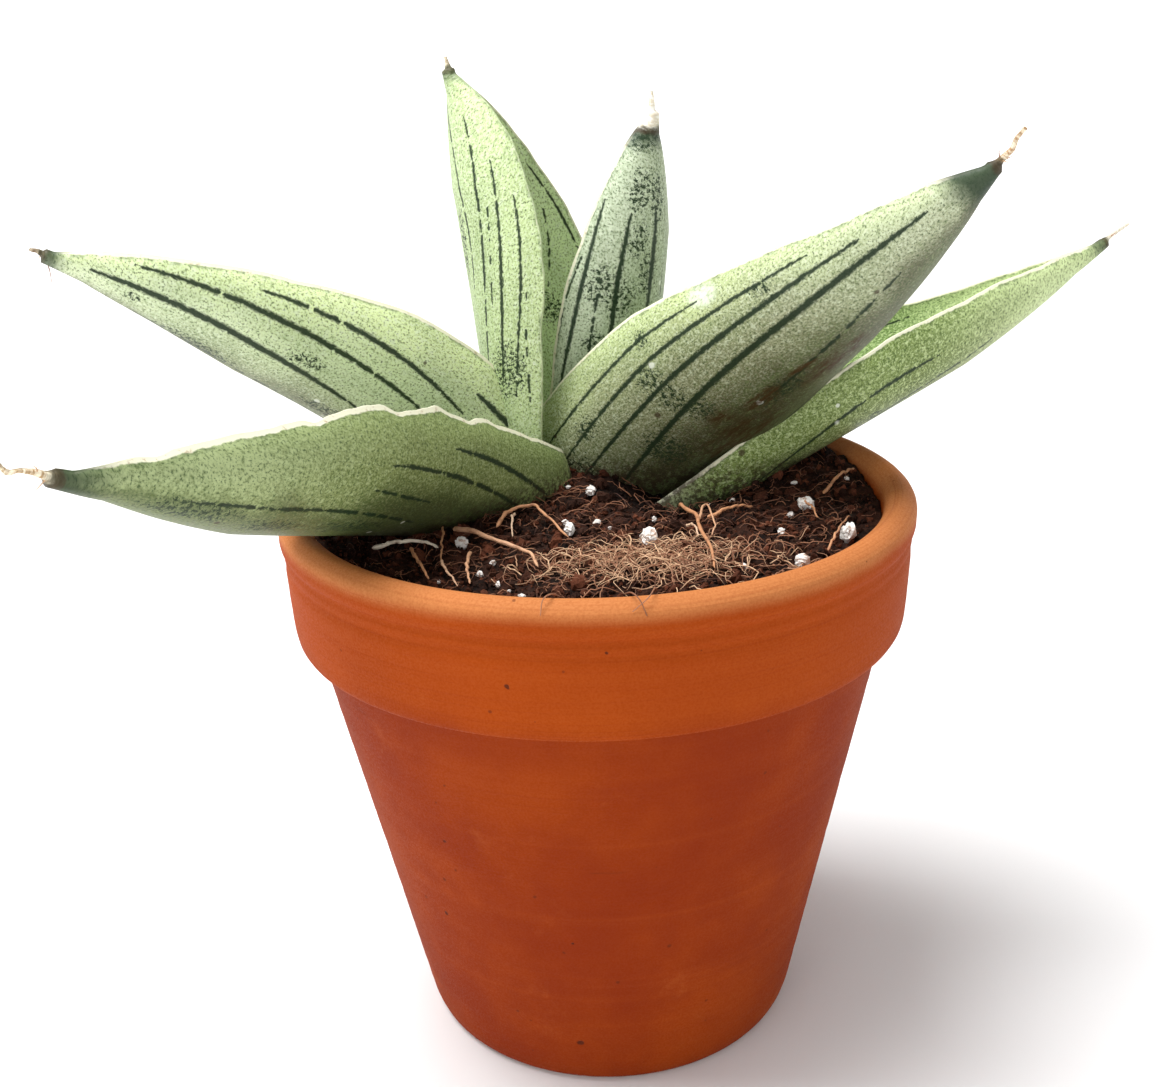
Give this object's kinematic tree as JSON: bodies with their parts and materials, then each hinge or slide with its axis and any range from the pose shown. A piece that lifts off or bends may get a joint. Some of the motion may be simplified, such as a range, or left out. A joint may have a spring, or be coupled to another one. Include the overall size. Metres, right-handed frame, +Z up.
{
  "type": "potted snake plant",
  "caption": "A young snake plant with thick, channelled, dark-streaked grey-green leaves in a collared clay pot of soil, to stand on a sill, shelf or desk.",
  "frame": {"origin": "on the ground, under the middle of the whole outline; the pot's own axis is at x = -8.5 mm, y = 14.8 mm", "axes": "+Z up; +X to the right as the plant is seen from the front, along the widest spread of the leaves; +Y away from the front"},
  "size_m": [0.2123, 0.1496, 0.186],
  "materials": {
    "clay": "matte",
    "soil": "matte",
    "leaf": "satin",
    "rootstock": "matte",
    "root": "matte",
    "perlite": "matte"
  },
  "bodies": {
    "root": {"terracotta_pot": "clay", "potting_soil": "soil", "rootstock": "rootstock", "leaf_front_left": "leaf", "leaf_left": "leaf", "leaf_right_front": "leaf", "leaf_upright_centre": "leaf", "leaf_upright_left": "leaf", "leaf_right": "leaf", "root_white": "root", "root_tan_long": "root", "root_tan_loop": "root", "root_fork_stem": "root", "root_fork_side": "root", "root_right": "root", "root_strand_left": "root", "root_strand_front": "root", "perlite_01": "perlite", "perlite_02": "perlite", "perlite_03": "perlite", "perlite_04": "perlite", "perlite_05": "perlite", "perlite_06": "perlite", "perlite_07": "perlite", "perlite_08": "perlite", "perlite_09": "perlite", "perlite_10": "perlite"}
  },
  "joints": []
}
